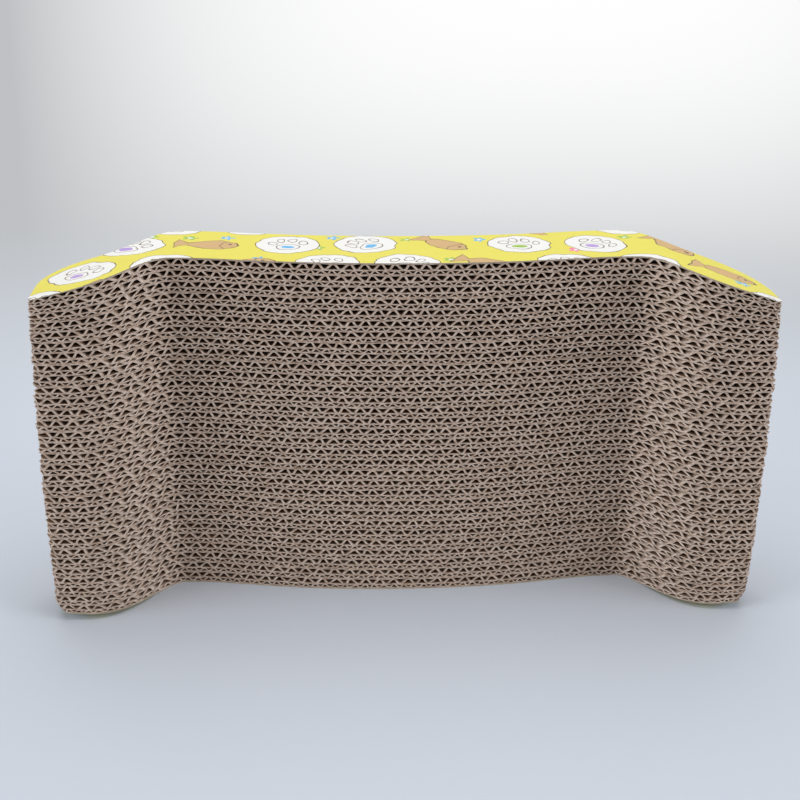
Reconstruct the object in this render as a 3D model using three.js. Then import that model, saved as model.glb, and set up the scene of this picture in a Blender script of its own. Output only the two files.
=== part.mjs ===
// Cat scratcher: a glued stack of die-cut corrugated boards with a printed sheet on both long sides.
// Millimetres. It stands on a printed side: X is the width, +Z runs up the stack, and the scratch
// face with its saddle between two wings looks towards -Y. The origin is below the middle of its box.
import * as THREE from "three";

// Plan outline of a board, measured from the middle of the saddle
const CREST_TO_DIP = 136; // along X, from the middle of the hump to the lowest point beside it
const SWEEP_RUN = 56; // along X, from that dip to the wing
const WING_FLAT = 17; // along X, the straight front of a wing up to its end
const HUMP_HEIGHT = 13; // how far the middle of the saddle stands proud of the dips
const WING_REACH = 44; // how far the wings stand proud of the dips
const THICKNESS = 57; // front to rear, the same at every X, as boards nest in the sheet they are cut from
const FRONT_CORNER_RADIUS = 5; // at the two ends
const REAR_CORNER_RADIUS = 32; // at the two ends

// How far each bend holds its direction, as a share of its own run
const CREST_HOLD = 0.58;
const DIP_HOLD_INWARD = 0.27;
const DIP_HOLD_OUTWARD = 0.28;
const WING_HOLD = 0.57;

// Stack
const BOARD_COUNT = 31;
const BOARD_THICKNESS = 6.7;
const GLUE_LINE = 0.1; // gap between neighbouring boards, and between a board and a cover sheet
const COVER_THICKNESS = 0.5;

// The ends of the stack are pressed towards its middle height, most at the top and bottom corners
const UPPER_END_PRESS = 13; // at the upper corners
const LOWER_END_PRESS = 5; // at the lower corners
const END_PRESS_RUN = 60; // length of the pressed zone, measured from each end
const END_PRESS_GROWTH = 1.5; // power by which the press grows along that zone
const STACK_PRESS_GROWTH = 5; // power by which it grows away from the middle height

// Facets along the outline, per half
const HUMP_STEPS = 6;
const SWEEP_STEPS = 7;
const WING_STEPS = 3;
const CORNER_STEPS = 3;

const KRAFT = { color: 0x94806e, roughness: 0.9, metalness: 0 };
const PRINTED_PAPER = { color: 0xf2dd2e, roughness: 0.45, metalness: 0 };

const boardPitch = BOARD_THICKNESS + GLUE_LINE;
const stackHeight = 2 * COVER_THICKNESS + GLUE_LINE + BOARD_COUNT * boardPitch;
const halfWidth = CREST_TO_DIP + SWEEP_RUN + WING_FLAT;
const wingStart = CREST_TO_DIP + SWEEP_RUN;
const middleOfDepth = (THICKNESS - WING_REACH) / 2;

// A bend from one level part of the front line to the next
function levelBend(startX, startY, endX, endY, startHold, endHold) {
  const run = endX - startX;
  return new THREE.CubicBezierCurve(
    new THREE.Vector2(startX, startY),
    new THREE.Vector2(startX + startHold * run, startY),
    new THREE.Vector2(endX - endHold * run, endY),
    new THREE.Vector2(endX, endY),
  );
}

// Front line of the right half in plan, from the crest of the hump to where the front corner begins
function frontLine() {
  const hump = levelBend(0, -HUMP_HEIGHT, CREST_TO_DIP, 0, CREST_HOLD, DIP_HOLD_INWARD);
  const sweep = levelBend(CREST_TO_DIP, 0, wingStart, -WING_REACH, DIP_HOLD_OUTWARD, WING_HOLD);
  const wing = new THREE.LineCurve(
    new THREE.Vector2(wingStart, -WING_REACH),
    new THREE.Vector2(halfWidth - frontCornerRadius(), -WING_REACH),
  );
  return [
    ...hump.getPoints(HUMP_STEPS),
    ...sweep.getPoints(SWEEP_STEPS).slice(1),
    ...wing.getPoints(WING_STEPS).slice(1),
  ];
}

// The front corner is no larger than the straight front of the wing or a part of the thickness allows
function frontCornerRadius() {
  return Math.min(FRONT_CORNER_RADIUS, 0.9 * WING_FLAT, 0.2 * THICKNESS);
}

// The rear corner leaves a part of the thickness for the end itself
function rearCornerRadius() {
  return Math.min(REAR_CORNER_RADIUS, 0.7 * THICKNESS);
}

// How far a round corner at the end draws its edge in, at a place along X
function cornerInset(x, radius) {
  const intoCorner = Math.max(0, x - (halfWidth - radius));
  return radius - Math.sqrt(Math.max(0, radius ** 2 - intoCorner ** 2));
}

// Cross-sections of the right half: a place along X with its front and rear edge
function halfStations() {
  const points = frontLine();
  const radius = frontCornerRadius();
  for (let step = 1; step <= CORNER_STEPS; step++) {
    const turn = (step / CORNER_STEPS) * (Math.PI / 2);
    points.push(new THREE.Vector2(halfWidth - radius + radius * Math.sin(turn), -WING_REACH));
  }
  return points.map((p) => ({
    x: p.x,
    front: p.y + cornerInset(p.x, radius),
    rear: p.y + THICKNESS - cornerInset(p.x, rearCornerRadius()),
  }));
}

// Cross-sections from the left end to the right end, with the depth centred on the origin
function boardStations() {
  const right = halfStations();
  const left = right
    .slice(1)
    .reverse()
    .map((s) => ({ ...s, x: -s.x }));
  return [...left, ...right].map((s) => ({
    x: s.x,
    front: s.front - middleOfDepth,
    rear: s.rear - middleOfDepth,
  }));
}

// Height of a level of the stack, pressed towards the middle height near the ends
function pressedHeight(x, level) {
  const intoZone = Math.max(0, Math.abs(x) - (halfWidth - END_PRESS_RUN)) / END_PRESS_RUN;
  const fromMiddle = (2 * level) / stackHeight - 1;
  const cornerPress = fromMiddle > 0 ? UPPER_END_PRESS : LOWER_END_PRESS;
  const press = cornerPress * intoZone ** END_PRESS_GROWTH;
  return level - press * Math.sign(fromMiddle) * Math.abs(fromMiddle) ** STACK_PRESS_GROWTH;
}

// A sheet or board between two levels: a box with a segment between each two cross-sections, laid onto them
function layerGeometry(stations, bottom, top) {
  const segments = stations.length - 1;
  const geometry = new THREE.BoxGeometry(segments, 1, 1, segments, 1, 1);
  const position = geometry.getAttribute("position");
  for (let i = 0; i < position.count; i++) {
    const station = stations[Math.round(position.getX(i) + segments / 2)];
    const y = position.getY(i) < 0 ? station.front : station.rear;
    const level = position.getZ(i) < 0 ? bottom : top;
    position.setXYZ(i, station.x, y, pressedHeight(station.x, level));
  }
  geometry.computeVertexNormals();
  return geometry;
}

function layer(name, stations, bottom, top, look) {
  const mesh = new THREE.Mesh(layerGeometry(stations, bottom, top), new THREE.MeshStandardMaterial(look));
  mesh.name = name;
  return mesh;
}

function scratcher() {
  const group = new THREE.Group();
  const stations = boardStations();
  group.add(layer("lower_cover_sheet", stations, 0, COVER_THICKNESS, PRINTED_PAPER));
  for (let number = 1; number <= BOARD_COUNT; number++) {
    const bottom = COVER_THICKNESS + GLUE_LINE + (number - 1) * boardPitch;
    const name = `board_${String(number).padStart(2, "0")}`;
    group.add(layer(name, stations, bottom, bottom + BOARD_THICKNESS, KRAFT));
  }
  group.add(layer("upper_cover_sheet", stations, stackHeight - COVER_THICKNESS, stackHeight, PRINTED_PAPER));
  return group;
}

export default scratcher();
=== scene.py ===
"""Cat scratcher of die-cut corrugated boards.

Builds the fluted papers of the boards, the printed cover sheets and a studio stage.
"""

import math
import random

import bmesh
import bpy
import numpy as np
from bpy.props import FloatProperty, FloatVectorProperty, IntProperty, PointerProperty
from mathutils import Matrix, Vector, noise


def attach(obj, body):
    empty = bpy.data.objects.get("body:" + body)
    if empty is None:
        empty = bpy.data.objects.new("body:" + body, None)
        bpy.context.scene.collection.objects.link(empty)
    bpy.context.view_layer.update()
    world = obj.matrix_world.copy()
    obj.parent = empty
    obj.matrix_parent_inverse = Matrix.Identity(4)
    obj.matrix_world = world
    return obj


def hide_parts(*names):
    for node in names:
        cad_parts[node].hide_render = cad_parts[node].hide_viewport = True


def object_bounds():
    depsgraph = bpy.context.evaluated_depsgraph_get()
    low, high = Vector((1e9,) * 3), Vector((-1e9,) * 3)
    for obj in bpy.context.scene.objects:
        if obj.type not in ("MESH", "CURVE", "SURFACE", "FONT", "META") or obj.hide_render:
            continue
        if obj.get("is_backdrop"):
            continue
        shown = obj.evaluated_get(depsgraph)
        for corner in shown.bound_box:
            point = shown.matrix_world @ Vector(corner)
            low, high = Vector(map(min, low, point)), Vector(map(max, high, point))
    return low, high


bl_info = {
    "name": "Corrugated cat scratcher",
    "version": (1, 0, 0),
    "blender": (4, 5, 0),
    "location": "3D View > Sidebar > Scratcher",
    "description": "Builds the boards, cover sheets and stage of a corrugated cat scratcher",
    "category": "Object",
}

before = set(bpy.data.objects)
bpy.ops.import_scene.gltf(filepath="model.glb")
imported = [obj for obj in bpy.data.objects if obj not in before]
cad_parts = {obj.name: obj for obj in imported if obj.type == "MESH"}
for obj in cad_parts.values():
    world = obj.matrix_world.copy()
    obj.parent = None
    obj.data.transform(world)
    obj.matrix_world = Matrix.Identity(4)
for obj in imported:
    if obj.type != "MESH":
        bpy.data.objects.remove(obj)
CAD_LOW, CAD_HIGH = (list(corner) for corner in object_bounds())
WIDTH, DEPTH, HEIGHT = (high - low for low, high in zip(CAD_LOW, CAD_HIGH))
BOARD_NODES = sorted(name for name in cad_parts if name.startswith("board_"))
MM = 0.001

# Names of the point attributes that the paper materials read
CUT_EDGE_AND_SHADE = "cut_edge"
PAPER_TONE = "paper_tone"

# Plan outline: points along a bend, and how much of its radius a round corner runs through
BEND_SAMPLES = 65
CORNER_REACH = 0.995

# Powers by which the press, the bulge and the wear of the ends grow along their zone
UPPER_END_GROWTH = 1.5
LOWER_END_GROWTH = 0.8
BULGE_GROWTH = 2
WORN_END_GROWTH = 6
# Powers by which the press grows away from the middle height, and the wear towards the floor
STACK_PRESS_GROWTH = 5
WORN_FLOOR_GROWTH = 2
# Layers wander less below this height, and less by this share at the top
CALM_HEIGHT = 30 * MM
TOP_CALM = 0.65
# Lengths along X, Y and Z over which layers wander and cut edges wobble
WANDER_LENGTHS = (70 * MM, 120 * MM, 45 * MM)
WOBBLE_LENGTHS = (5 * MM, 30 * MM, 6 * MM)

# Folds of one flute: place as a share of the pitch, height, and the way its slanting side leans
FLUTE_FOLDS = (
    (0.115, 0.95, -1), (0.25, 1.0, 0), (0.385, 0.95, 1),
    (0.615, -0.95, 1), (0.75, -1.0, 0), (0.885, -0.95, -1),
)
# How far a flute strays and how close to an end its folds come, as shares of the pitch
FLUTE_STRAY = 0.05
FLUTE_END_MARGIN = 0.1
# Range of a flute's own height, as a share of the clear height, and flutes to spare past the ends
FLUTE_FULLNESS = (0.98, 1.04)
SPARE_FLUTES = 4

# Grid rows behind a cut: depth, share of its frayed thickness that a paper keeps there, and how much of
# the lighter cut colour it takes: the real frayed cut at the front, then painted light that fades into
# painted shade deeper in the cells
ROW_DEPTHS = (0.0, 0.8 * MM, 3.0 * MM, 9.0 * MM)
FRAYED_SHARE = (1.0, 0.8, 0.5, 0.4)
LINER_FRAY_AND_SHADE = (1.0, 0.55, 0.12, 0.0)
FLUTING_FRAY_AND_SHADE = (1.0, 0.85, 0.4, 0.0)
# Share of the lighter cut colour kept where the cut runs straight across the flutes; where the front
# runs aslant it rises to the full, as painted light on the S-curves
STRAIGHT_CUT_LIGHT_SHARE = 0.8
# Ranges of a paper's tone, where 0 has the liners' colour and 1 that of the fluted papers
LINER_TONES = (0.0, 0.35)
FLUTING_TONES = (0.6, 1.0)
# Ranges of the strays at the ends and at the cuts, as shares of the board's rag and fray
END_RAG = (-1.0, 0.8)
FRAY_ALONG = (-0.4, 0.4)
FRAY_ACROSS = (-1.0, 1.0)
# Power that makes strongly crushed flutes rare
CRUSH_RARITY = 3

# Grids: half the side of a flat one before it is laid, and the number of its columns and rows
GRID_HALF = 0.5
LINER_COLUMNS = 130
COVER_COLUMNS = 200
COVER_ROWS = 12
END_COLUMNS = 12
# Upper and lower side of a paper, in shares of its thickness from its middle
UPPER_SIDE, LOWER_SIDE = 0.5, -0.5
# A face of a cover sheet is one of its flat sides where the upright part of its normal is larger
FLAT_NORMAL = 0.5

# Print: softness of its edges, start of the random draws of its cells, and the middle of such a draw
PRINT_SOFTNESS = 0.12 * MM
MOTIF_SEED = 3.0
FLOWER_SEED = 7.0
MIDDLE_DRAW = (0.5, 0.5, 0.5)
# Motifs are turned within this angle, and every third one is a fish
MOTIF_SWEEP = 2.4
FISH_EVERY = 3.0
# Flower: stray as a share of its cell, petals, and their depth and its heart as shares of its radius
FLOWER_STRAY = 0.4
PETALS = 5.0
PETAL_DEPTH = 0.26
FLOWER_HEART = 0.28
# Spot and its paw: middle and radii of each ellipse, as shares of the spot's radius
SPOT = ((0.0, 0.0), (1.0, 0.94))
PAD = ((0.0, -0.28), (0.38, 0.30))
PAD_HEART = ((0.0, -0.28), (0.22, 0.16))
TOE_MIDDLES = ((-0.50, 0.14), (-0.18, 0.42), (0.18, 0.42), (0.50, 0.14))
TOE_RADII = (0.13, 0.19)
# Fish, in the same shares: ellipses, and the slope, the start and the end of its tail
FISH_BODY = ((0.12, 0.0), (0.80, 0.44))
FISH_EYE = ((0.60, 0.10), (0.07, 0.07))
FISH_GILL = ((0.92, 0.0), (0.58, 0.62))
TAIL_SLOPE, TAIL_START, TAIL_END = 0.85, 0.46, 1.08

# Floor: half its side, and the distances between which it gives way to the glowing backdrop, a painted
# light
FLOOR_HALF = 8.0
FLOOR_SEGMENTS = 4
FLOOR_NEAR, FLOOR_FAR = 0.35, 0.95
# Backdrop, glowing with painted light: where along Y it begins to turn white, and how fast
WHITE_START = 0.5
WHITE_RATE = 1.6
# The painted white light spreads like a fan from a point in front: slope of its middle, half its width,
# its edge
FAN_X, FAN_Y = -0.05, -0.77
FAN_MIDDLE, FAN_HALF = 0.17, 0.39
FAN_EDGE_POWER = 3.0
WHITE = (1.0, 1.0, 1.0, 1.0)
# Even light from all sides
WORLD_COLOUR = (0.96, 0.98, 1.0)
WORLD_STRENGTH = 0.35
# Square lamps: place, the point that they shine at, side and power in watts
LAMPS = {
    "overhead_lamp": ((0.0, 0.4, 1.6), (0.0, 0.2, 0.0), 1.8, 23.5),
    "left_lamp": ((-2.9, -1.25, 1.2), (0.0, 0.0, 0.1), 1.9, 41.0),
    "right_lamp": ((2.9, -1.25, 1.2), (0.0, 0.0, 0.1), 1.9, 41.0),
}
# Camera, as fitted to the rows of boards and the outline: millimetres, metres and degrees
LENS, SENSOR = 61.4, 36.0
CAMERA_PLACE = (-0.0477, -0.7661, 0.4330)
CAMERA_TILT_DOWN, CAMERA_TURN, CAMERA_ROLL = 22.2, -3.37, -0.78


def length_property(name, description, default):
    return FloatProperty(
        name=name, description=description, default=default, unit="LENGTH", precision=5
    )


def share_property(name, description, default):
    return FloatProperty(
        name=name, description=description, default=default, subtype="FACTOR", min=0, max=1
    )


def colour_property(name, description, default):
    return FloatVectorProperty(
        name=name, description=description, default=default, subtype="COLOR", size=3, min=0, max=1
    )


class SCRATCHER_PG_outline(bpy.types.PropertyGroup):
    """Plan outline that every board and cover sheet is cut to."""

    crest_to_dip: length_property("Crest to dip", "Along X, from the hump to the dip", 136 * MM)
    sweep_run: length_property("Sweep run", "Along X, from the dip to the wing", 56 * MM)
    hump_height: length_property("Hump height", "How far the hump stands proud of the dips", 13 * MM)
    thickness: length_property("Thickness", "Front to rear, the same at every X", 57 * MM)
    front_corner: length_property("Front corner", "Radius of the front corners", 5 * MM)
    left_corner: length_property("Left rear corner", "Radius of the left rear corner", 28 * MM)
    right_corner: length_property("Right rear corner", "Radius of the right rear corner", 38 * MM)
    crest_hold: share_property("Crest hold", "How far the hump stays level at its crest", 0.58)
    dip_hold_inward: share_property("Dip hold inward", "How far the dip holds to the hump", 0.27)
    dip_hold_outward: share_property("Dip hold outward", "How far the dip holds to the wing", 0.28)
    wing_hold: share_property("Wing hold", "How far the wing stays level towards the dip", 0.57)


class SCRATCHER_PG_stack(bpy.types.PropertyGroup):
    """How the layers lie on one another, and how the ends of the stack are pressed and worn."""

    glue_line: length_property("Glue line", "Gap between neighbouring boards", 0.1 * MM)
    cover_thickness: length_property("Cover thickness", "Thickness of a printed sheet", 0.5 * MM)
    cover_overhang: length_property("Cover overhang", "How far a cover passes the boards", 0.4 * MM)
    left_press: length_property("Left press", "How far the upper left end is pressed down", 11.5 * MM)
    right_press: length_property("Right press", "How far the upper right end is pressed down", 15 * MM)
    lower_press: length_property("Lower press", "How far the lower ends are pressed up", 5.5 * MM)
    press_run: length_property("Press run", "Length of the pressed zone at each end", 60 * MM)
    bulge: length_property("Bulge", "How far the ends stand out at the middle height", 2.0 * MM)
    worn_corner: length_property("Worn corner", "How far the lower end corners are rubbed in", 4.5 * MM)
    worn_height: length_property("Worn height", "How high up the lower corners are rubbed in", 9 * MM)
    wander: length_property("Wander", "How far layers stray up and down along the stack", 0.55 * MM)
    slip: length_property("Slip", "How far a board lies off its neighbours", 0.35 * MM)


class SCRATCHER_PG_board(bpy.types.PropertyGroup):
    """Papers and flutes of one double-wall board."""

    outer_liner: length_property("Outer liner", "Thickness of an outer liner at its cut", 0.48 * MM)
    middle_liner: length_property("Middle liner", "Thickness of the middle liner at its cut", 0.72 * MM)
    fluting: length_property("Fluting", "Thickness of a fluted paper at its folds", 0.4 * MM)
    slant_share: share_property("Slant share", "Frayed width of a slanting side, by the pitch", 0.135)
    large_pitch: length_property("Large flute pitch", "Length of one large wave", 8.9 * MM)
    small_pitch: length_property("Small flute pitch", "Length of one small wave", 6.15 * MM)
    large_share: share_property("Large flute share", "Share of the free height it takes", 0.62)
    fray: length_property("Fray", "How far paper edges stray along the cut", 0.28 * MM)
    wobble: length_property("Wobble", "How far paper edges stray up and down at the cut", 0.45 * MM)
    rag: length_property("Rag", "How far papers stray at the two ends", 1.1 * MM)
    crush: share_property("Crush", "Most that a flute is crushed at its cut edge", 0.1)
    seed: IntProperty(name="Seed", description="Start of the random draws for all boards", default=31)


class SCRATCHER_PG_print(bpy.types.PropertyGroup):
    """Sizes of the pattern on the cover sheets."""

    across: length_property("Across", "Pitch of the large motifs along X", 46 * MM)
    along: length_property("Along", "Pitch of the large motifs from front to rear", 40 * MM)
    spot: length_property("Spot", "Radius of the round spots", 19 * MM)
    line: length_property("Line", "Half the width of a drawn line", 0.27 * MM)
    accent_pitch: length_property("Accent pitch", "Pitch of the small flowers", 22 * MM)
    accent: length_property("Accent", "Radius of a small flower", 4.6 * MM)
    accent_share: share_property("Accent share", "Share of the places that hold a flower", 0.4)


class SCRATCHER_PG_colours(bpy.types.PropertyGroup):
    """Colours of the papers, the print and the stage."""

    # Liner and fluting: kraft tones darkened well below the paper's own colour, as painted shade for
    # the deep flute cells
    liner: colour_property("Liner", "Flat liner papers", (0.25, 0.13, 0.06))
    fluting: colour_property("Fluting", "Fluted papers", (0.22, 0.11, 0.05))
    cut_edge: colour_property("Cut edge", "Frayed paper at the die cut", (0.74, 0.61, 0.52))
    ground: colour_property("Ground", "Ground of the print", (0.71, 0.635, 0.08))
    white: colour_property("White", "Round spots of the print", (0.775, 0.765, 0.74))
    core: colour_property("Core", "Unprinted paper of the cover sheets", (0.43, 0.36, 0.27))
    tan: colour_property("Tan", "Fish", (0.57, 0.365, 0.155))
    line: colour_property("Line", "Drawn lines and paw prints", (0.11, 0.06, 0.025))
    pink: colour_property("Pink", "First accent", (0.85, 0.20, 0.36))
    blue: colour_property("Blue", "Second accent", (0.12, 0.42, 0.72))
    green: colour_property("Green", "Third accent", (0.30, 0.48, 0.06))
    lilac: colour_property("Lilac", "Fourth accent", (0.42, 0.28, 0.62))
    floor: colour_property("Floor", "Floor around the object", (0.545, 0.585, 0.652))
    far_floor: colour_property("Far floor", "Floor behind the object", (0.520, 0.535, 0.550))


class Stack:
    """The outline in plan and the levels of the stack, read from the properties."""

    def __init__(self, scene):
        self.outline = scene.scratcher_outline
        self.layers = scene.scratcher_stack
        self.board = scene.scratcher_board
        self.half_width = WIDTH / 2
        self.wing_reach = DEPTH - self.outline.thickness
        self.middle_of_depth = (self.outline.thickness - self.wing_reach) / 2
        covers = 2 * self.layers.cover_thickness + self.layers.glue_line
        self.board_pitch = (HEIGHT - covers) / len(BOARD_NODES)
        self.board_thickness = self.board_pitch - self.layers.glue_line
        self.line_x, self.line_y = self.front_line()

    def front_line(self):
        """Points of the front edge of the right half, from the crest of the hump to the wing."""
        o = self.outline
        wing_start = o.crest_to_dip + o.sweep_run
        hump = level_bend(0, -o.hump_height, o.crest_to_dip, 0, o.crest_hold, o.dip_hold_inward)
        sweep = level_bend(
            o.crest_to_dip, 0, wing_start, -self.wing_reach, o.dip_hold_outward, o.wing_hold
        )
        line = np.concatenate([hump, sweep[1:]])
        return line[:, 0], line[:, 1]

    def front(self, x):
        """Front edge in plan, without the end corners."""
        return np.interp(np.abs(x), self.line_x, self.line_y) - self.middle_of_depth

    def corner_inset(self, x, radius):
        """How far a round corner at the end draws its edge in."""
        into = np.clip(np.abs(x) - (self.half_width - radius), 0, CORNER_REACH * radius)
        return radius - np.sqrt(radius * radius - into * into)

    def edges(self, x):
        """Front and rear edge in plan at places along X."""
        o = self.outline
        front = self.front(x)
        rear_corner = np.where(np.less(x, 0), o.left_corner, o.right_corner)
        return (
            front + self.corner_inset(x, o.front_corner),
            front + o.thickness - self.corner_inset(x, rear_corner),
        )

    def board_bottom(self, number):
        """Level of the lower side of a board, which are numbered from 0."""
        return self.layers.cover_thickness + self.layers.glue_line + number * self.board_pitch

    def into_end(self, x):
        """How far into the pressed zone of an end a place is, from 0 to 1."""
        run = self.layers.press_run
        return min(1, max(0, abs(x) - (self.half_width - run)) / run)

    def oblique(self, x):
        """How much longer a path along Y is than one straight into the face."""
        step = 1 * MM
        slope = (self.front(np.abs(x) + step) - self.front(np.abs(x) - step)) / (2 * step)
        return np.hypot(1, slope)

    def spread(self, x, level):
        """How far a place moves along X, out by the bulge of the ends and in at their lower corners."""
        layers = self.layers
        from_middle = 2 * level / HEIGHT - 1
        near_floor = max(0, 1 - level / layers.worn_height)
        out = layers.bulge * self.into_end(x) ** BULGE_GROWTH * (1 - from_middle**2)
        worn = self.into_end(x) ** WORN_END_GROWTH * near_floor**WORN_FLOOR_GROWTH
        return math.copysign(1, x) * (out - layers.worn_corner * worn)

    def height(self, x, y, level):
        """Height of a level of the stack, pressed at the ends and straying a little."""
        layers = self.layers
        from_middle = 2 * level / HEIGHT - 1
        if from_middle < 0:
            press = layers.lower_press * self.into_end(x) ** LOWER_END_GROWTH
        else:
            upper_press = layers.left_press if x < 0 else layers.right_press
            press = upper_press * self.into_end(x) ** UPPER_END_GROWTH
        pressed = level - press * from_middle**STACK_PRESS_GROWTH
        calm = min(1, level / CALM_HEIGHT) * (1 - TOP_CALM * level / HEIGHT)
        return pressed + layers.wander * calm * smooth_stray((x, y, level), WANDER_LENGTHS)


def level_bend(start_x, start_y, end_x, end_y, start_hold, end_hold):
    """Points of a cubic curve that leaves and arrives level."""
    run = end_x - start_x
    first, second, third, last = np.array([
        (start_x, start_y), (start_x + start_hold * run, start_y),
        (end_x - end_hold * run, end_y), (end_x, end_y),
    ])
    t = np.linspace(0, 1, BEND_SAMPLES)[:, None]
    s = 1 - t
    return s**3 * first + 3 * s * s * t * second + 3 * s * t * t * third + t**3 * last


def smooth_stray(place, lengths):
    """A smooth random stray between -1 and 1, which changes over the lengths along X, Y and Z."""
    return noise.noise(Vector([along / length for along, length in zip(place, lengths)]))


# Papers

class Paper:
    """One paper of a board, column by column along X: its middle level and the way its sides slant."""

    def __init__(self, columns, levels, leans, thickness, slant, fray_and_shade, tone):
        self.columns = columns
        self.levels = levels
        self.leans = leans
        self.thickness = thickness
        self.slant = slant
        self.fray_and_shade = fray_and_shade
        self.tone = tone

    def rows(self):
        """Grid rows from front to rear: share of the depth, way behind the cut, thickness, and the
        lighter cut colour: frayed cut, then painted light fading to painted shade.
        """
        cut = list(zip(ROW_DEPTHS, FRAYED_SHARE, self.fray_and_shade))
        front = [(0.0, depth, frayed, fray_and_shade) for depth, frayed, fray_and_shade in cut]
        middle = [(0.5, 0.0, FRAYED_SHARE[-1], 0.0)]
        rear = [(1.0, -depth, frayed, fray_and_shade) for depth, frayed, fray_and_shade in reversed(cut)]
        return np.array(front + middle + rear).T

    def plan(self, stack):
        """Where the two sides lie in plan, and how much of the lighter cut colour they take (frayed
        cut, then painted light fading to painted shade in the cells), by side, row and column.
        """
        share, depth, frayed, fray_and_shade = self.rows()[:, :, None]
        side = np.array([UPPER_SIDE, LOWER_SIDE])[:, None, None]
        x = self.columns + side * self.leans * self.slant * frayed
        front, rear = stack.edges(x)
        oblique = stack.oblique(x)
        y = front + share * (rear - front) + depth * oblique
        # Aslant parts of the front get more of the lighter cut colour: painted light on the S-curves
        aslant = np.minimum(1, oblique - 1)
        return x, y, fray_and_shade * (STRAIGHT_CUT_LIGHT_SHARE + (1 - STRAIGHT_CUT_LIGHT_SHARE) * aslant)


def plain_columns(stack, count):
    """Places along X for a flat sheet, close together where the corners at its ends are round."""
    radius = stack.outline.left_corner
    turns = np.linspace(0, math.pi / 2, END_COLUMNS + 1)[1:]
    corner = stack.half_width - radius + radius * np.sin(turns)
    inner = np.linspace(radius - stack.half_width, stack.half_width - radius, count + 1)
    return np.concatenate([-corner[::-1], inner, corner])


def flat_paper(stack, bottom, thickness, tone):
    """A liner that lies on a level."""
    columns = plain_columns(stack, LINER_COLUMNS)
    levels = np.full(len(columns), bottom + thickness / 2)
    return Paper(columns, levels, np.zeros(len(columns)), thickness, 0.0, LINER_FRAY_AND_SHADE, tone)


def fluted_paper(stack, bottom, clear, pitch, tone, draw):
    """A zigzag paper with rounded folds that fills the clear height above a level."""
    thickness = stack.board.fluting
    half_width = stack.half_width
    folds = flute_folds(half_width, pitch, draw)
    places, heights, _ = folds.T
    inside = folds[np.abs(places) < half_width - FLUTE_END_MARGIN * pitch]
    ends = [(x, np.interp(x, places, heights), 0.0) for x in (-half_width, half_width)]
    columns, heights, leans = np.concatenate([ends[:1], inside, ends[1:]]).T
    levels = bottom + clear / 2 + (clear - thickness) / 2 * heights
    slant = stack.board.slant_share * pitch
    return Paper(columns, levels, leans, thickness, slant, FLUTING_FRAY_AND_SHADE, tone)


def flute_folds(half_width, pitch, draw):
    """Place, height and lean of the folds from end to end, each flute straying a little."""
    folds = []
    first = -half_width - (1 + draw.random()) * pitch
    for flute in range(int(2 * half_width / pitch) + SPARE_FLUTES):
        start = first + (flute + draw.uniform(-FLUTE_STRAY, FLUTE_STRAY)) * pitch
        stray = draw.uniform(-FLUTE_STRAY, FLUTE_STRAY) * pitch
        fullness = draw.uniform(*FLUTE_FULLNESS)
        for share, height, lean in FLUTE_FOLDS:
            folds.append((start + share * pitch + stray * height, height * fullness, lean))
    return np.array(folds)


def board_papers(stack, number, draw):
    """The five papers of a double-wall board, from its lower liner to its upper one."""
    board = stack.board
    bottom = stack.board_bottom(number)
    outer, middle = board.outer_liner, board.middle_liner
    clear = stack.board_thickness - 2 * outer - middle
    large_clear = board.large_share * clear
    small_clear = clear - large_clear
    small_bottom = bottom + outer
    middle_bottom = small_bottom + small_clear
    large_bottom = middle_bottom + middle
    top_bottom = large_bottom + large_clear
    tone = draw.uniform
    return [
        flat_paper(stack, bottom, outer, tone(*LINER_TONES)),
        fluted_paper(stack, small_bottom, small_clear, board.small_pitch, tone(*FLUTING_TONES), draw),
        flat_paper(stack, middle_bottom, middle, tone(*LINER_TONES)),
        fluted_paper(stack, large_bottom, large_clear, board.large_pitch, tone(*FLUTING_TONES), draw),
        flat_paper(stack, top_bottom, outer, tone(*LINER_TONES)),
    ]


def grid_line(coordinate, last):
    """Number of the line of a flat grid that a coordinate lies on, from 0 to the last one."""
    return round((coordinate + GRID_HALF) * last)


def lay_paper(bm, stack, paper, slip, draw):
    """A grid thickened into a closed sheet, whose two sides are then laid where the paper runs."""
    cut_edge = bm.verts.layers.float[CUT_EDGE_AND_SHADE]
    paper_tone = bm.verts.layers.float[PAPER_TONE]
    _, _, frayed, _ = paper.rows()
    last_column = len(paper.columns) - 1
    last_row = len(frayed) - 1
    plan_x, plan_y, worn = paper.plan(stack)
    strays = edge_strays(paper, stack.board, last_row, draw)
    middle = (paper.levels.min() + paper.levels.max()) / 2
    laid = set(bm.verts)
    grid = bmesh.ops.create_grid(bm, x_segments=last_column, y_segments=last_row, size=GRID_HALF)
    faces = list({face for vert in grid["verts"] for face in vert.link_faces})
    shell = 1.0
    bmesh.ops.solidify(bm, geom=faces, thickness=shell)
    for vert in bm.verts:
        if vert in laid:
            continue
        column = grid_line(vert.co.x, last_column)
        row = grid_line(vert.co.y, last_row)
        side = 0 if vert.co.z > -shell / 2 else 1
        along, across, crush = strays[column, row]
        x = plan_x[side, row, column] + along
        y = plan_y[side, row, column] + across
        level = middle + (paper.levels[column] - middle) * (1 - crush)
        level += (UPPER_SIDE, LOWER_SIDE)[side] * paper.thickness * frayed[row]
        if row in (0, last_row):
            level += stack.board.wobble * smooth_stray((x, y, level), WOBBLE_LENGTHS)
        x += slip.x + stack.spread(x, level)
        y += slip.y
        vert.co = (x, y, stack.height(x, y, level))
        # 1 at the ends and at the frayed cut; deeper rows carry painted light that fades to painted
        # shade in the flute cells
        vert[cut_edge] = 1.0 if column in (0, last_column) else worn[side, row, column]
        vert[paper_tone] = paper.tone


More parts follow.
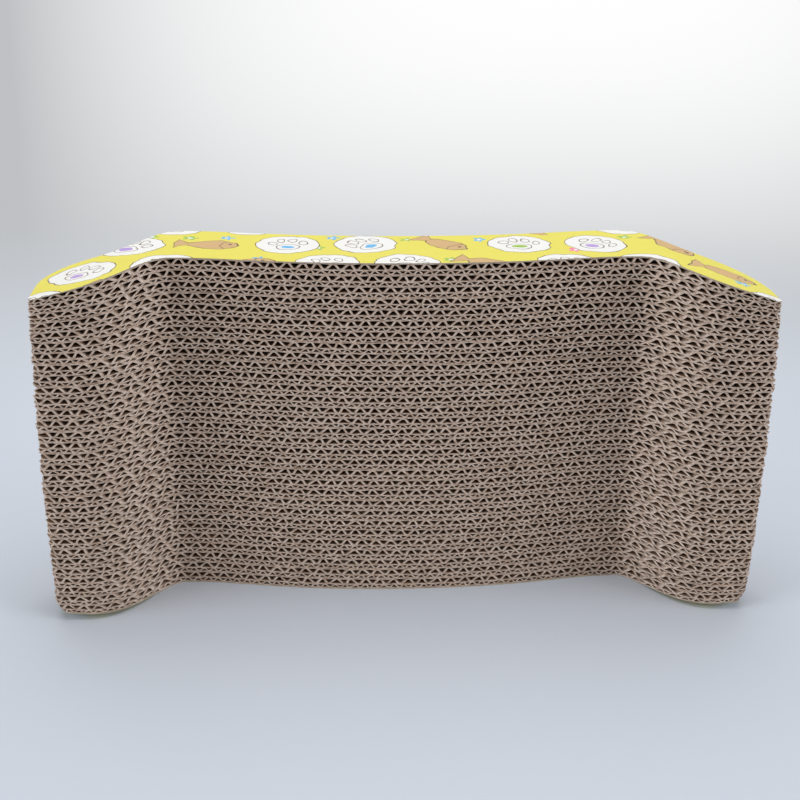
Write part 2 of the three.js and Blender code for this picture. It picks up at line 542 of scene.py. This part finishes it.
def edge_strays(paper, board, last_row, draw):
    """How far each grid point strays along X and Y, and how far its flute is crushed there."""
    strays = {}
    last_column = len(paper.columns) - 1
    for column, x in enumerate(paper.columns):
        for row in range(last_row + 1):
            along, across, crush = 0.0, 0.0, 0.0
            if column in (0, last_column):
                along += draw.uniform(*END_RAG) * board.rag * math.copysign(1, x)
            if row in (0, last_row):
                along += draw.uniform(*FRAY_ALONG) * board.fray
                across = draw.uniform(*FRAY_ACROSS) * board.fray
                crush = board.crush * draw.random() ** CRUSH_RARITY
            strays[column, row] = (along, across, crush)
    return strays


def new_paper_mesh():
    """An empty bmesh with the point attributes of the paper materials."""
    bm = bmesh.new()
    bm.verts.layers.float.new(CUT_EDGE_AND_SHADE)
    bm.verts.layers.float.new(PAPER_TONE)
    return bm


def cover_mesh(stack, level, outward):
    """A cover sheet with its upper side at a level: print on its outer side, plain paper elsewhere."""
    bm = bmesh.new()
    columns = plain_columns(stack, COVER_COLUMNS)
    last_column = len(columns) - 1
    overhang = stack.layers.cover_overhang
    grid = bmesh.ops.create_grid(bm, x_segments=last_column, y_segments=COVER_ROWS, size=GRID_HALF)
    for vert in grid["verts"]:
        x = columns[grid_line(vert.co.x, last_column)]
        front, rear = stack.edges(x)
        depth = rear - front + 2 * overhang
        y = front - overhang + (vert.co.y + GRID_HALF) * depth
        place = x * (1 + overhang / stack.half_width) + stack.spread(x, level)
        vert.co = (place, y, stack.height(x, y, level))
    bmesh.ops.solidify(bm, geom=bm.faces[:], thickness=stack.layers.cover_thickness)
    bmesh.ops.recalc_face_normals(bm, faces=bm.faces[:])
    for face in bm.faces:
        face.smooth = abs(face.normal.z) > FLAT_NORMAL
        face.material_index = 0 if outward * face.normal.z > FLAT_NORMAL else 1
    for edge in bm.edges:
        edge.smooth = all(face.smooth for face in edge.link_faces)
    return bm


def finish_piece(bm, node, materials):
    """Makes the object that stands for a node of the frame."""
    bmesh.ops.recalc_face_normals(bm, faces=bm.faces[:])
    mesh = bpy.data.meshes.new(node + "_papers")
    bm.to_mesh(mesh)
    bm.free()
    piece = bpy.data.objects.new(node + "_papers", mesh)
    bpy.context.scene.collection.objects.link(piece)
    for material in materials:
        mesh.materials.append(material)
    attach(piece, "root")
    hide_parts(node)


# Shader helpers

def add_node(tree, kind, inputs=None, **settings):
    """A node with its settings, and with each input set to a value or linked to a socket."""
    node = tree.nodes.new(kind)
    for name, value in settings.items():
        setattr(node, name, value)
    for name, value in (inputs or {}).items():
        feed(tree, value, node.inputs[name])
    return node


def feed(tree, value, socket):
    """Links another socket to a socket, or sets it to a plain value."""
    if isinstance(value, bpy.types.NodeSocket):
        tree.links.new(value, socket)
    else:
        socket.default_value = value


def calc(tree, operation, *values, clamp=False):
    """A Math node's result."""
    node = tree.nodes.new("ShaderNodeMath")
    node.operation = operation
    node.use_clamp = clamp
    for socket, value in zip(node.inputs, values):
        feed(tree, value, socket)
    return node.outputs[0]


def vector_calc(tree, operation, *values, scale=None):
    """A Vector Math node's result, which is a vector, or a number for a length."""
    node = tree.nodes.new("ShaderNodeVectorMath")
    node.operation = operation
    for socket, value in zip(node.inputs, values):
        feed(tree, value, socket)
    if scale is not None:
        feed(tree, scale, node.inputs["Scale"])
    return node.outputs["Value" if operation == "LENGTH" else "Vector"]


def mix_colour(tree, factor, first, second):
    """A Mix node's colour, whose sockets are numbered because other types share their names."""
    node = tree.nodes.new("ShaderNodeMix")
    node.data_type = "RGBA"
    feed(tree, factor, node.inputs[0])
    feed(tree, first, node.inputs[6])
    feed(tree, second, node.inputs[7])
    return node.outputs[2]


def blend_shaders(tree, factor, first, second, output):
    """Two shaders mixed, as the surface of an output node."""
    blend = add_node(tree, "ShaderNodeMixShader", {"Fac": factor})
    feed(tree, first, blend.inputs[1])
    feed(tree, second, blend.inputs[2])
    feed(tree, blend.outputs["Shader"], tree.nodes[output].inputs["Surface"])


def opaque(colour):
    return (*colour, 1.0)


def new_material(name):
    """A material with a Principled BSDF, its node tree and that shader."""
    material = bpy.data.materials.new(name)
    material.use_nodes = True
    return material, material.node_tree, material.node_tree.nodes["Principled BSDF"]


def object_place(tree):
    return add_node(tree, "ShaderNodeTexCoord").outputs["Object"]


def component(tree, vector, axis):
    return add_node(tree, "ShaderNodeSeparateXYZ", {"Vector": vector}).outputs[axis]


def bump(tree, height, strength, distance):
    values = {"Height": height, "Strength": strength, "Distance": distance}
    return add_node(tree, "ShaderNodeBump", values).outputs["Normal"]


def ramp(tree, value, low, high):
    """A value carried from low..high to 0..1 and held there."""
    values = {"Value": value, "From Min": low, "From Max": high}
    return add_node(tree, "ShaderNodeMapRange", values, clamp=True).outputs["Result"]


# Papers' materials

def paper_fibre_group():
    """Fibres and blotches of paper, shared by the board papers and the cover sheets."""
    name = "paper_fibre"
    if name in bpy.data.node_groups:
        return bpy.data.node_groups[name]
    group = bpy.data.node_groups.new(name, "ShaderNodeTree")
    group.interface.new_socket("Place", in_out="INPUT", socket_type="NodeSocketVector")
    group.interface.new_socket("Fibre", in_out="OUTPUT", socket_type="NodeSocketFloat")
    group.interface.new_socket("Blotch", in_out="OUTPUT", socket_type="NodeSocketFloat")
    place = add_node(group, "NodeGroupInput").outputs["Place"]
    along_fibres = (0.35, 1.0, 1.0)
    stretched = vector_calc(group, "MULTIPLY", place, along_fibres)
    fine = {"Vector": stretched, "Scale": 2600.0, "Detail": 3.0, "Roughness": 0.6}
    broad = {"Vector": place, "Scale": 95.0, "Detail": 4.0, "Roughness": 0.55}
    fibre = add_node(group, "ShaderNodeTexNoise", fine)
    blotch = add_node(group, "ShaderNodeTexNoise", broad)
    result = add_node(group, "NodeGroupOutput")
    feed(group, fibre.outputs["Fac"], result.inputs["Fibre"])
    feed(group, blotch.outputs["Fac"], result.inputs["Blotch"])
    return group


def paper_fibre(tree, place):
    """The fibre group placed in a material: its Fibre and Blotch."""
    node = tree.nodes.new("ShaderNodeGroup")
    node.node_tree = paper_fibre_group()
    feed(tree, place, node.inputs["Place"])
    return node.outputs["Fibre"], node.outputs["Blotch"]


def blotched(tree, colour, blotch, least, gain):
    """A colour shaded by the blotches of its paper."""
    shade = calc(tree, "MULTIPLY_ADD", blotch, gain, least)
    return vector_calc(tree, "SCALE", colour, scale=shade)


def fine_grain(tree, place):
    """Noise about as fine as the thickness of the frayed edges."""
    node = add_node(tree, "ShaderNodeTexNoise", {"Vector": place, "Scale": 420.0, "Detail": 2.0})
    return node.outputs["Fac"]


def kraft_material(colours):
    """Board papers: fibres, blotches, a tone for each paper and a lighter frayed cut, whose colour
    fades into the cells as painted light, with darkened paper colours deeper in as painted shade.
    """
    material, tree, shader = new_material("kraft_paper")
    place = object_place(tree)
    fibre, blotch = paper_fibre(tree, place)
    tone = add_node(tree, "ShaderNodeAttribute", attribute_name=PAPER_TONE).outputs["Fac"]
    cut = add_node(tree, "ShaderNodeAttribute", attribute_name=CUT_EDGE_AND_SHADE).outputs["Fac"]
    # The liner and fluting colours carry the painted shade of the flute cells
    plain = mix_colour(tree, tone, opaque(colours.liner), opaque(colours.fluting))
    dark = vector_calc(tree, "SCALE", plain, scale=0.72)
    mottled = mix_colour(tree, ramp(tree, blotch, low=0.3, high=0.7), dark, plain)
    worn = ramp(tree, fine_grain(tree, place), low=0.36, high=0.62)
    least_frayed = 0.5
    patchy = calc(tree, "MULTIPLY_ADD", worn, 1 - least_frayed, least_frayed)
    # The lighter cut colour: real at the cut, painted light just behind it, giving way to the painted
    # shade of the cells
    frayed = calc(tree, "MULTIPLY", cut, patchy)
    colour = mix_colour(tree, frayed, mottled, opaque(colours.cut_edge))
    feed(tree, colour, shader.inputs["Base Color"])
    feed(tree, bump(tree, fibre, strength=0.35, distance=0.15 * MM), shader.inputs["Normal"])
    shader.inputs["Roughness"].default_value = 0.92
    shader.inputs["Specular IOR Level"].default_value = 0.2
    return material


def core_material(colours):
    """Unprinted side and cut edge of the cover sheets."""
    material, tree, shader = new_material("cover_core")
    fibre, blotch = paper_fibre(tree, object_place(tree))
    colour = blotched(tree, tuple(colours.core), blotch, least=0.85, gain=0.3)
    feed(tree, colour, shader.inputs["Base Color"])
    feed(tree, bump(tree, fibre, strength=0.25, distance=0.1 * MM), shader.inputs["Normal"])
    shader.inputs["Roughness"].default_value = 0.85
    return material


# Print of the cover sheets

def hand_drawn(tree, place):
    """The place shaken a little, so that drawn outlines are not perfectly regular."""
    shake = add_node(tree, "ShaderNodeTexNoise", {"Vector": place, "Scale": 110.0, "Detail": 1.0})
    centred = vector_calc(tree, "SUBTRACT", shake.outputs["Color"], MIDDLE_DRAW)
    width = 5 * MM
    return vector_calc(tree, "MULTIPLY_ADD", centred, (width, width, 0.0), place)


def brick_cells(tree, place, across, along, seed):
    """A brick pattern: the place from the middle of its cell, the cell, and its random draws."""
    scaled = vector_calc(tree, "MULTIPLY", place, (1 / across, 1 / along, 0.0))
    row = calc(tree, "FLOOR", component(tree, scaled, "Y"))
    half_step = calc(tree, "MULTIPLY", calc(tree, "FLOORED_MODULO", row, 2.0), 0.5)
    step = add_node(tree, "ShaderNodeCombineXYZ", {"X": half_step}).outputs["Vector"]
    shifted = vector_calc(tree, "ADD", scaled, step)
    cell = vector_calc(tree, "FLOOR", shifted)
    corner_based = vector_calc(tree, "SUBTRACT", shifted, cell)
    middle_based = vector_calc(tree, "SUBTRACT", corner_based, (0.5, 0.5, 0.0))
    local = vector_calc(tree, "MULTIPLY", middle_based, (across, along, 0.0))
    numbered = vector_calc(tree, "ADD", cell, (seed, seed, seed))
    draws = add_node(tree, "ShaderNodeTexWhiteNoise", {"Vector": numbered})
    return local, cell, draws.outputs["Value"], draws.outputs["Color"]


def turned(tree, place, share, sweep):
    """The place turned about the middle of its cell by a share of a sweep."""
    angle = calc(tree, "MULTIPLY", calc(tree, "SUBTRACT", share, 0.5), sweep)
    values = {"Vector": place, "Angle": angle}
    return add_node(tree, "ShaderNodeVectorRotate", values, rotation_type="Z_AXIS").outputs["Vector"]


def ellipse(tree, place, shape, size):
    """Rough distance to an ellipse, below zero inside it. Its shape is in shares of a size."""
    middle, radii = ([share * size for share in pair] for pair in shape)
    offset = vector_calc(tree, "SUBTRACT", place, (*middle, 0.0))
    scaled = vector_calc(tree, "DIVIDE", offset, (*radii, 1.0))
    reach = vector_calc(tree, "LENGTH", scaled)
    return calc(tree, "MULTIPLY", calc(tree, "SUBTRACT", reach, 1.0), min(radii))


def outlined(tree, distance, width):
    """Distance to a line drawn along the outline of a shape."""
    return calc(tree, "SUBTRACT", calc(tree, "ABSOLUTE", distance), width)


def fill(tree, distance, under, colour):
    """A colour laid over another one inside a shape."""
    inside = ramp(tree, distance, low=PRINT_SOFTNESS, high=-PRINT_SOFTNESS)
    return mix_colour(tree, inside, under, colour)


def pick_accent(tree, choice, colours):
    """One of the four accent colours, by a random draw."""
    accents = [opaque(each) for each in (colours.pink, colours.blue, colours.green, colours.lilac)]
    shown = accents[0]
    for number in range(1, len(accents)):
        chosen = calc(tree, "GREATER_THAN", choice, number / len(accents))
        shown = mix_colour(tree, chosen, shown, accents[number])
    return shown


def print_flowers(tree, place, under, sizes, colours):
    """Small flowers of four colours at some places of a fine brick pattern."""
    pitch = sizes.accent_pitch
    local, _, draw, draws = brick_cells(tree, place, pitch, pitch, FLOWER_SEED)
    centred = vector_calc(tree, "SUBTRACT", draws, MIDDLE_DRAW)
    stray = FLOWER_STRAY * pitch
    place = vector_calc(tree, "MULTIPLY_ADD", centred, (stray, stray, 0.0), local)
    around = calc(tree, "ARCTAN2", component(tree, place, "Y"), component(tree, place, "X"))
    petals = calc(tree, "COSINE", calc(tree, "MULTIPLY_ADD", around, PETALS, draw))
    depth = PETAL_DEPTH * sizes.accent
    outline = calc(tree, "MULTIPLY_ADD", petals, depth, sizes.accent - depth)
    reach = vector_calc(tree, "LENGTH", vector_calc(tree, "MULTIPLY", place, (1.0, 1.0, 0.0)))
    missing = calc(tree, "GREATER_THAN", draw, sizes.accent_share)
    flower = calc(tree, "ADD", calc(tree, "SUBTRACT", reach, outline), missing)
    heart = calc(tree, "ADD", calc(tree, "SUBTRACT", reach, FLOWER_HEART * sizes.accent), missing)
    accent = pick_accent(tree, component(tree, draws, "Z"), colours)
    return fill(tree, heart, fill(tree, flower, under, accent), opaque(colours.white))


def print_spot(tree, place, under, accent, sizes, colours):
    """A round white spot with a drawn paw, its pad in an accent colour."""
    radius = sizes.spot
    line = opaque(colours.line)
    spot = ellipse(tree, place, SPOT, radius)
    shown = fill(tree, spot, under, opaque(colours.white))
    shown = fill(tree, outlined(tree, spot, sizes.line), shown, line)
    shown = fill(tree, ellipse(tree, place, PAD_HEART, radius), shown, accent)
    paw = ellipse(tree, place, PAD, radius)
    for middle in TOE_MIDDLES:
        paw = calc(tree, "MINIMUM", paw, ellipse(tree, place, (middle, TOE_RADII), radius))
    return fill(tree, outlined(tree, paw, sizes.line), shown, line)


def print_fish(tree, place, under, sizes, colours):
    """A tan fish with a drawn outline, an eye and a gill."""
    length = sizes.spot
    line = opaque(colours.line)
    body = ellipse(tree, place, FISH_BODY, length)
    x = component(tree, place, "X")
    y = calc(tree, "ABSOLUTE", component(tree, place, "Y"))
    from_start = calc(tree, "ADD", y, TAIL_START * length)
    flare = calc(tree, "MULTIPLY_ADD", x, TAIL_SLOPE, from_start)
    back = calc(tree, "SUBTRACT", calc(tree, "MULTIPLY", x, -1.0), TAIL_END * length)
    fish = calc(tree, "MINIMUM", body, calc(tree, "MAXIMUM", flare, back))
    shown = fill(tree, fish, under, opaque(colours.tan))
    shown = fill(tree, outlined(tree, fish, sizes.line), shown, line)
    eye = ellipse(tree, place, FISH_EYE, length)
    gill = outlined(tree, ellipse(tree, place, FISH_GILL, length), sizes.line)
    gill_in_body = calc(tree, "MAXIMUM", gill, body)
    return fill(tree, calc(tree, "MINIMUM", eye, gill_in_body), shown, line)


def printed_material(sizes, colours):
    """Coated paper: a yellow ground with flowers, white spots and fish."""
    material, tree, shader = new_material("printed_paper")
    place = object_place(tree)
    fibre, blotch = paper_fibre(tree, place)
    drawn = hand_drawn(tree, place)
    under = print_flowers(tree, drawn, opaque(colours.ground), sizes, colours)
    local, cell, draw, draws = brick_cells(tree, drawn, sizes.across, sizes.along, MOTIF_SEED)
    motif = turned(tree, local, draw, MOTIF_SWEEP)
    accent = pick_accent(tree, component(tree, draws, "Y"), colours)
    with_spots = print_spot(tree, motif, under, accent, sizes, colours)
    with_fish = print_fish(tree, motif, under, sizes, colours)
    number = calc(tree, "ADD", component(tree, cell, "X"), component(tree, cell, "Y"))
    is_fish = calc(tree, "LESS_THAN", calc(tree, "FLOORED_MODULO", number, FISH_EVERY), 0.5)
    printed = mix_colour(tree, is_fish, with_spots, with_fish)
    colour = blotched(tree, printed, blotch, least=0.95, gain=0.08)
    feed(tree, colour, shader.inputs["Base Color"])
    feed(tree, bump(tree, fibre, strength=0.08, distance=0.05 * MM), shader.inputs["Normal"])
    shader.inputs["Roughness"].default_value = 0.45
    shader.inputs["Specular IOR Level"].default_value = 0.4
    return material


# Operators

class SCRATCHER_OT_boards(bpy.types.Operator):
    """Lay the corrugated boards, each of three liner papers and two fluted papers"""

    bl_idname = "scratcher.boards"
    bl_label = "Corrugated boards"

    def execute(self, context):
        scene = context.scene
        stack = Stack(scene)
        kraft = kraft_material(scene.scratcher_colours)
        for number, node in enumerate(BOARD_NODES):
            draw = random.Random(scene.scratcher_board.seed + number)
            slip = Vector((draw.uniform(-1, 1), draw.uniform(-1, 1))) * scene.scratcher_stack.slip
            bm = new_paper_mesh()
            for paper in board_papers(stack, number, draw):
                lay_paper(bm, stack, paper, slip, draw)
            finish_piece(bm, node, [kraft])
        return {"FINISHED"}


class SCRATCHER_OT_covers(bpy.types.Operator):
    """Lay the printed cover sheets below and on top of the boards"""

    bl_idname = "scratcher.covers"
    bl_label = "Printed cover sheets"

    def execute(self, context):
        scene = context.scene
        stack = Stack(scene)
        materials = [
            printed_material(scene.scratcher_print, scene.scratcher_colours),
            core_material(scene.scratcher_colours),
        ]
        lower = cover_mesh(stack, stack.layers.cover_thickness, -1)
        finish_piece(lower, "lower_cover_sheet", materials)
        upper = cover_mesh(stack, HEIGHT, 1)
        finish_piece(upper, "upper_cover_sheet", materials)
        return {"FINISHED"}


class SCRATCHER_OT_stage(bpy.types.Operator):
    """Set the floor, the soft light and the camera"""

    bl_idname = "scratcher.stage"
    bl_label = "Stage, light and camera"

    def execute(self, context):
        add_floor(context.scene.scratcher_colours)
        add_world(context.scene.scratcher_colours)
        for name, lamp in LAMPS.items():
            add_soft_lamp(name, *lamp)
        add_camera(context.scene)
        context.scene.view_settings.view_transform = "Standard"
        return {"FINISHED"}


# Stage

def add_floor(colours):
    bm = bmesh.new()
    bmesh.ops.create_grid(
        bm, x_segments=FLOOR_SEGMENTS, y_segments=FLOOR_SEGMENTS, size=FLOOR_HALF
    )
    mesh = bpy.data.meshes.new("floor")
    bm.to_mesh(mesh)
    bm.free()
    mesh.materials.append(floor_material(colours))
    floor = bpy.data.objects.new("floor", mesh)
    bpy.context.scene.collection.objects.link(floor)
    floor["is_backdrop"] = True


def floor_material(colours):
    """Paper around the object, which farther away is seen as a glowing backdrop of painted light."""
    material, tree, shader = new_material("floor_paper")
    shader.inputs["Base Color"].default_value = opaque(colours.floor)
    shader.inputs["Roughness"].default_value = 0.85
    place = object_place(tree)
    away = ramp(tree, vector_calc(tree, "LENGTH", place), low=FLOOR_NEAR, high=FLOOR_FAR)
    shown = {"Color": backdrop_painted_light(tree, place, colours), "Strength": 1.0}
    backdrop = add_node(tree, "ShaderNodeEmission", shown).outputs["Emission"]
    factor = calc(tree, "MULTIPLY", away, seen_ray(tree))
    blend_shaders(tree, factor, shader.outputs["BSDF"], backdrop, "Material Output")
    return material


def backdrop_painted_light(tree, place, colours):
    """Painted light of the glowing backdrop: grey at the left, going to white in the distance behind
    the object and to its right.
    """
    x = component(tree, place, "X")
    y = component(tree, place, "Y")
    beyond = calc(tree, "MAXIMUM", calc(tree, "SUBTRACT", y, WHITE_START), 0.0)
    fading = calc(tree, "EXPONENT", calc(tree, "MULTIPLY", beyond, -WHITE_RATE))
    far = calc(tree, "SUBTRACT", 1.0, fading)
    aside = calc(tree, "DIVIDE", calc(tree, "SUBTRACT", x, FAN_X), calc(tree, "SUBTRACT", y, FAN_Y))
    off_middle = calc(tree, "DIVIDE", calc(tree, "SUBTRACT", aside, FAN_MIDDLE), FAN_HALF)
    outside = calc(tree, "POWER", calc(tree, "ABSOLUTE", off_middle), FAN_EDGE_POWER)
    across = calc(tree, "SUBTRACT", 1.0, outside, clamp=True)
    return mix_colour(tree, calc(tree, "MULTIPLY", far, across), opaque(colours.far_floor), WHITE)


def seen_ray(tree):
    """1 for what is seen, straight, in a reflection or through a clear piece, and 0 for light."""
    path = add_node(tree, "ShaderNodeLightPath").outputs
    mirrored = calc(tree, "MAXIMUM", path["Is Glossy Ray"], path["Is Transmission Ray"])
    return calc(tree, "MAXIMUM", path["Is Camera Ray"], mirrored)


def add_world(colours):
    """Weak even light from all sides, seen as a backdrop like the far floor."""
    world = bpy.data.worlds.new("studio")
    world.use_nodes = True
    tree = world.node_tree
    light = tree.nodes["Background"]
    light.inputs["Color"].default_value = opaque(WORLD_COLOUR)
    light.inputs["Strength"].default_value = WORLD_STRENGTH
    shown = {"Color": opaque(colours.far_floor), "Strength": 1.0}
    backdrop = add_node(tree, "ShaderNodeBackground", shown).outputs["Background"]
    blend_shaders(tree, seen_ray(tree), light.outputs["Background"], backdrop, "World Output")
    bpy.context.scene.world = world


def add_soft_lamp(name, place, target, side, power):
    lamp = bpy.data.lights.new(name, "AREA")
    lamp.shape = "SQUARE"
    lamp.size = side
    lamp.energy = power
    holder = bpy.data.objects.new(name, lamp)
    holder.location = place
    holder.rotation_euler = (Vector(target) - Vector(place)).to_track_quat("-Z", "Y").to_euler()
    bpy.context.scene.collection.objects.link(holder)


def add_camera(scene):
    lens = bpy.data.cameras.new("camera")
    lens.lens = LENS
    lens.sensor_width = SENSOR
    camera = bpy.data.objects.new("camera", lens)
    turn = Matrix.Rotation(math.radians(CAMERA_TURN), 4, "Z")
    tilt = Matrix.Rotation(math.pi / 2 - math.radians(CAMERA_TILT_DOWN), 4, "X")
    roll = Matrix.Rotation(-math.radians(CAMERA_ROLL), 4, "Z")
    camera.matrix_world = Matrix.Translation(CAMERA_PLACE) @ (turn @ tilt) @ roll
    scene.collection.objects.link(camera)
    scene.camera = camera


class SCRATCHER_PT_sidebar(bpy.types.Panel):
    """Lists the steps that build the scratcher"""

    bl_label = "Cat scratcher"
    bl_space_type = "VIEW_3D"
    bl_region_type = "UI"
    bl_category = "Scratcher"

    def draw(self, context):
        for step in STEPS:
            self.layout.operator(step.bl_idname)


STEPS = (SCRATCHER_OT_boards, SCRATCHER_OT_covers, SCRATCHER_OT_stage)
GROUPS = {
    "scratcher_outline": SCRATCHER_PG_outline,
    "scratcher_stack": SCRATCHER_PG_stack,
    "scratcher_board": SCRATCHER_PG_board,
    "scratcher_print": SCRATCHER_PG_print,
    "scratcher_colours": SCRATCHER_PG_colours,
}
CLASSES = (*GROUPS.values(), *STEPS, SCRATCHER_PT_sidebar)


def register():
    for each in CLASSES:
        bpy.utils.register_class(each)
    for name, group in GROUPS.items():
        setattr(bpy.types.Scene, name, PointerProperty(type=group))


def unregister():
    for name in GROUPS:
        delattr(bpy.types.Scene, name)
    for each in reversed(CLASSES):
        bpy.utils.unregister_class(each)


def main():
    register()
    bpy.ops.scratcher.boards()
    bpy.ops.scratcher.covers()
    bpy.ops.scratcher.stage()


if __name__ == "__main__":
    main()
